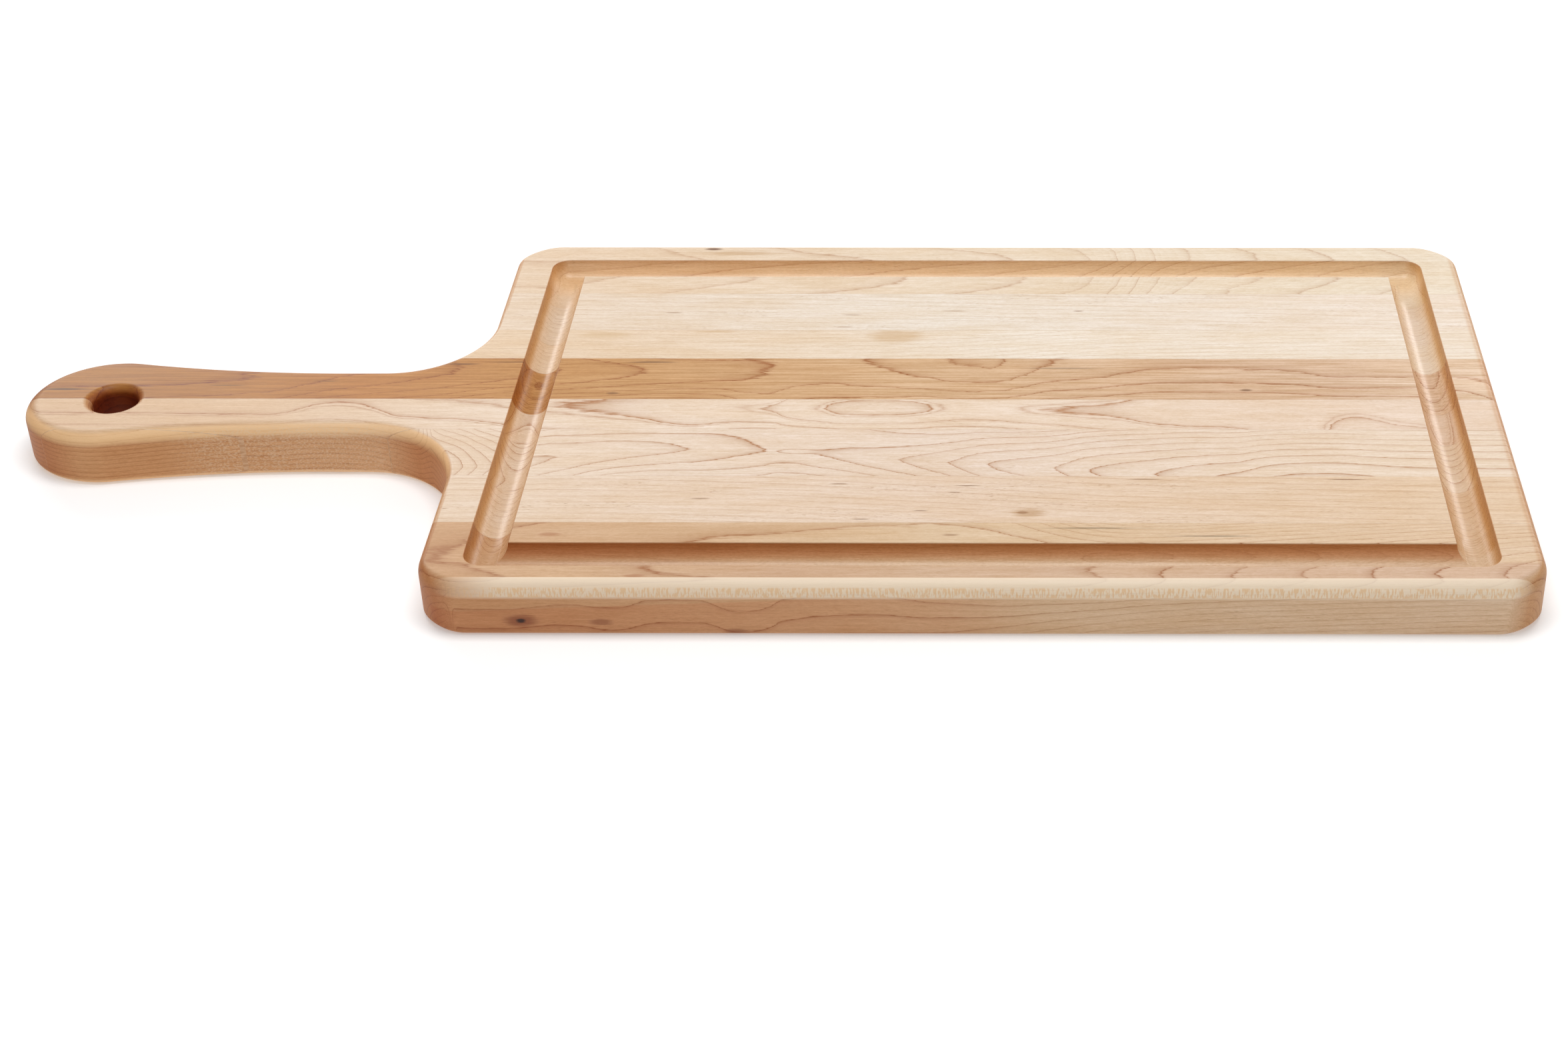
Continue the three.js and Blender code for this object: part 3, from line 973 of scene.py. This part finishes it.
def groove_colour(g, at, colour, finish):
    """The burnished groove's own colour, with painted shade that darkens its walls, most of all the cross
    runs' outer walls.
    """
    # Painted shade: steeper groove walls take more of the groove tint.
    walls = g.blend(at.near, (at.steep * 1.5 + 0.25).at_most(1.0), at.steep * 0.9 + 0.1)
    colour = g.stain(at.groove * walls * (1 - at.far), colour, finish.groove)
    colour = g.stain(at.groove * at.far, colour, finish.far_groove)
    # Painted shade on the cross runs' outer walls.
    outer = (abs(at.x - BODY_MIDDLE_MM) - CROSS_RUN_MM).rise(0.5, 4.5)
    outer_wall_shade = outer * at.steep.rise(0.15, 0.7) * at.groove * 0.75
    return g.stain(outer_wall_shade, colour, finish.groove)


def handle_edge_colour(g, at, colour, look, finish):
    """A painted highlight along the handle's near round-over, and the ray flecks where the neck cuts the rays
    end on.
    """
    # The painted highlight covers the upper part of the handle's near round-over.
    over = at.steep.rise(0.0, 0.12) * (1 - at.steep.rise(0.3, 1.0)) * at.outside
    over = over * (-at.ny).rise(0.0, 0.3)
    colour = g.mix(over * look.glow, colour, finish.edge_highlight)
    middle, reach, strength = look.flecks
    zone = (1 - abs(at.x - middle).rise(reach / 2, reach)) * at.steep.rise(0.02, 0.35)
    zone = zone * (-at.y).rise(8.0, 12.0)
    flecks = g.noise(at.place, (0.8, 0.8, 0.38), detail=2.0).rise(0.44, 0.62)
    return g.mix(flecks * zone * strength, colour, finish.fleck)


def near_rim_colour(g, at, colour, finish):
    """The near stave's flat rim, and the groove's near run with its torn long grain and painted shade on its
    inner wall.
    """
    rim = (FRONT_MM + 13.8 - at.y).rise(0.0, 1.5) * (1 - at.steep.rise(0.0, 0.2))
    colour = g.stain(rim * at.x.rise(-60.0, 20.0) * 0.9, colour, finish.near_rim)
    torn = g.noise(at.place, (1.2, 0.4, 0.25), detail=2.0).rise(0.35, 0.7) * 0.35
    run = at.groove * at.near
    colour = g.stain(torn * run, colour, finish.torn)
    # Painted shade on the near run's wall that looks to the near side.
    return g.stain(run * (-at.ny).rise(0.5, 0.9), colour, finish.near_groove_shade)


def near_wall_colour(g, at, colour, look, finish, fibre):
    """The near wall: heartwood low on the left, and a painted highlight along the near round-over with ray
    flecks.
    """
    # The heartwood ends upwards at a crisp boundary and fades out to the right.
    heartwood = (g.along(at.x, look.wall["heartwood"]) - at.z + (fibre - 0.5) * 0.6).rise(0.0, 0.7)
    heartwood = heartwood * (FRONT_MM + 5.0 - at.y).rise(0.0, 1.0) * (1 - at.x.rise(60.0, 100.0))
    colour = g.stain(heartwood * 0.85, colour, finish.heartwood)
    # The painted highlight stops short of the two corners.
    round_over_highlight = (at.x - BODY_LEFT_MM).rise(3.7, 29.7) * (BODY_RIGHT_MM - at.x).rise(3.9, 13.9)
    round_over_highlight = round_over_highlight * (FRONT_MM + NEAR_ROUND_OVER_MM - at.y).rise(0.0, 0.12)
    # Painted highlight over the upper part of the near round-over.
    band = round_over_highlight * (at.z - 13.4).rise(0.0, 1.6)
    colour = g.mix(band * 0.7, colour, finish.round_over_highlight)
    flecks = g.noise(at.place, (0.65, 3.0, 2.6), detail=2.0).rise(0.46, 0.56)
    zone = round_over_highlight * (17.7 - at.z).rise(0.0, 0.6) * (at.z - 14.0).rise(0.0, 0.8)
    return g.mix(flecks * zone * 0.62, colour, finish.ray)


def stave_material(name, look, finish):
    """Oiled maple for one stave."""
    g = Graph(name)
    at = StaveSurface(g)
    fibre = g.noise(at.place, (9, 0.45, 0.45), detail=3.0, roughness=0.6)
    streaks = g.noise(at.place, (34, 0.9, 0.9), detail=2.0, roughness=0.65) - 0.5
    height = ring_height(g, at, look, fibre)
    lines = ring_lines(g, look, height)
    dashes = vessel_dashes(g, at) * look.dashes
    end = end_grain(at)

    colour = sawn_colour(g, at, look, finish, fibre, streaks, height)
    colour = g.stain(drawn_lines(g, at, look, lines), colour, finish.growth_line)
    colour = g.mix(dashes, colour, finish.dash)
    for mark in look.marks:
        colour = mark_colour(g, at, colour, mark, fibre)
    colour = g.stain(end, colour, finish.end_grain)
    # Painted shade on the upright faces that look to the near side.
    colour = near_face_shade(g, at, colour, look, finish)
    colour = groove_colour(g, at, colour, finish)
    # Painted shade down the deep hanging hole.
    colour = g.stain(hole_mask(g, at), colour, finish.bore_shade)
    if look.flecks:
        colour = handle_edge_colour(g, at, colour, look, finish)
    if look.wall:
        colour = near_rim_colour(g, at, colour, finish)
        colour = near_wall_colour(g, at, colour, look, finish, fibre)

    relief = fibre * 0.5 + streaks * 0.5 - dashes * 0.8 - lines * 0.1
    roughness = finish.roughness + (fibre - 0.5) * 0.12 + end * 0.08 - lines * 0.03 - at.groove * 0.17
    g.finish(colour, roughness, relief, finish.relief, 0.12 * MM, {"Specular IOR Level": 0.3})
    return g.material


def glue_material(finish):
    """Cured glue, squeezed to a film, with wood fibres pressed into it."""
    g = Graph("glue_film")
    at = Surface(g)
    specks = g.noise(at.place, (3, 0.4, 0.6), detail=2.0)
    pale = tuple(0.55 + 0.45 * channel for channel in finish.glue)
    colour = g.mix(specks.rise(0.3, 0.75) * 0.7, finish.glue, pale)
    colour = g.stain(at.end_on, colour, finish.end_grain)
    # Painted shade on the film's upright faces that look to the near side.
    colour = g.stain(at.near_facing, colour, finish.side)
    g.finish(colour, specks * 0.2 + 0.4, specks, 0.3, 0.1 * MM, {"IOR": 1.5})
    return g.material


# ---- Operators ----


def lay_strip(node, prefix, material):
    """Cuts one strip from the blank, and stands each of its pieces for its own CAD node."""
    for name, cut in zip((node, HANDLE_ENDS.get(node)), cut_strip(node)):
        add_piece(prefix + name, cut, material, name)


class BOARD_OT_blank(bpy.types.Operator):
    """Shape the whole paddle, with its groove and its hanging hole, before it is cut into staves"""

    bl_idname = "board.blank"
    bl_label = "Shape the Blank"

    def execute(self, context):
        shape_blank(context.scene.board_sizes)
        return {"FINISHED"}


class BOARD_OT_staves(bpy.types.Operator):
    """Cut the eight maple staves, and the cheek that the neck cuts off from the sixth"""

    bl_idname = "board.staves"
    bl_label = "Cut the Staves"

    def execute(self, context):
        for node in STAVE_NAMES:
            material = stave_material("maple_" + node, FIGURES[node], context.scene.board_finish)
            lay_strip(node, "maple_", material)
        return {"FINISHED"}


class BOARD_OT_glue(bpy.types.Operator):
    """Lay the glue films in the seven joints"""

    bl_idname = "board.glue"
    bl_label = "Lay the Glue"

    def execute(self, context):
        material = glue_material(context.scene.board_finish)
        for node in GLUE_NAMES:
            lay_strip(node, "film_", material)
        return {"FINISHED"}


class BOARD_OT_stage(bpy.types.Operator):
    """Set the pale floor, the soft studio lights and the camera"""

    bl_idname = "board.stage"
    bl_label = "Set the Stage"

    def execute(self, context):
        add_floor()
        add_lights()
        add_camera()
        return {"FINISHED"}


def add_floor():
    g = Graph("pale_floor")
    place = g.node("ShaderNodeTexCoord", output=3)
    cloud = g.noise(place, (0.5, 0.5, 0.5))
    white = g.mix(cloud, (0.86, 0.86, 0.86), (0.88, 0.88, 0.88))
    shader = g.node(
        "ShaderNodeBsdfPrincipled",
        None,
        {
            "Base Color": white,
            "Roughness": 0.9,
            "Specular IOR Level": 0.0,
            "Emission Color": (1.0, 1.0, 1.0, 1.0),
            "Emission Strength": 0.27,
        },
    )
    g.node("ShaderNodeOutputMaterial", None, {"Surface": shader})
    half = 3.0
    mesh = bpy.data.meshes.new("floor")
    corners = [(-half, -half, 0), (half, -half, 0), (half, half, 0), (-half, half, 0)]
    mesh.from_pydata(corners, [], [(0, 1, 2, 3)])
    mesh.materials.append(g.material)
    floor = bpy.data.objects.new("floor", mesh)
    bpy.context.scene.collection.objects.link(floor)


def add_softbox(name, place, aim, size, power):
    light = bpy.data.lights.new(name, "AREA")
    light.shape = "RECTANGLE"
    light.size, light.size_y = size
    light.energy = power
    lamp = bpy.data.objects.new(name, light)
    lamp.location = place
    lamp.rotation_euler = (Vector(aim) - Vector(place)).to_track_quat("-Z", "Y").to_euler()
    bpy.context.scene.collection.objects.link(lamp)


def add_lights():
    add_softbox("softbox_left", (-0.60, 0.85, 0.45), (-0.05, 0, 0), (0.5, 0.4), 3.2)
    add_softbox("softbox_right", (0.75, 0.90, 0.45), (0.22, 0, 0), (0.5, 0.4), 3.2)
    add_softbox("softbox_overhead", (0.07, 0.0, 1.1), (0.07, 0, 0), (0.7, 0.35), 7.0)
    world = bpy.data.worlds.new("studio")
    world.use_nodes = True
    background = world.node_tree.nodes["Background"]
    background.inputs["Color"].default_value = (1.0, 1.0, 1.0, 1.0)
    background.inputs["Strength"].default_value = 0.35
    bpy.context.scene.world = world
    bpy.context.scene.view_settings.view_transform = "Standard"


def add_camera():
    data = bpy.data.cameras.new("camera")
    data.sensor_fit = "HORIZONTAL"
    data.sensor_width = 36.0
    data.lens = 59.44
    data.shift_x = -0.13468
    data.clip_end = 20.0
    camera = bpy.data.objects.new("camera", data)
    camera.location = (0.085217, -0.770893, 0.47885)
    camera.rotation_euler = (radians(56.4), radians(0.09), radians(0.274))
    bpy.context.scene.collection.objects.link(camera)
    bpy.context.scene.camera = camera


class BOARD_PT_panel(bpy.types.Panel):
    """Lists the steps of making the board"""

    bl_idname = "BOARD_PT_panel"
    bl_label = "Maple Paddle Board"
    bl_space_type = "VIEW_3D"
    bl_region_type = "UI"
    bl_category = "Board"

    def draw(self, context):
        for operator in OPERATORS:
            self.layout.operator(operator.bl_idname)
        for group in (context.scene.board_sizes, context.scene.board_finish):
            box = self.layout.box()
            for name in group.__annotations__:
                box.prop(group, name)


OPERATORS = (BOARD_OT_blank, BOARD_OT_staves, BOARD_OT_glue, BOARD_OT_stage)
CLASSES = (BoardSizes, BoardFinish, *OPERATORS, BOARD_PT_panel)


def register():
    for cls in CLASSES:
        bpy.utils.register_class(cls)
    bpy.types.Scene.board_sizes = PointerProperty(type=BoardSizes)
    bpy.types.Scene.board_finish = PointerProperty(type=BoardFinish)


def unregister():
    del bpy.types.Scene.board_finish
    del bpy.types.Scene.board_sizes
    for cls in reversed(CLASSES):
        bpy.utils.unregister_class(cls)


def main():
    register()
    bpy.ops.board.blank()
    bpy.ops.board.staves()
    bpy.ops.board.glue()
    bpy.ops.board.stage()


if __name__ == "__main__":
    main()
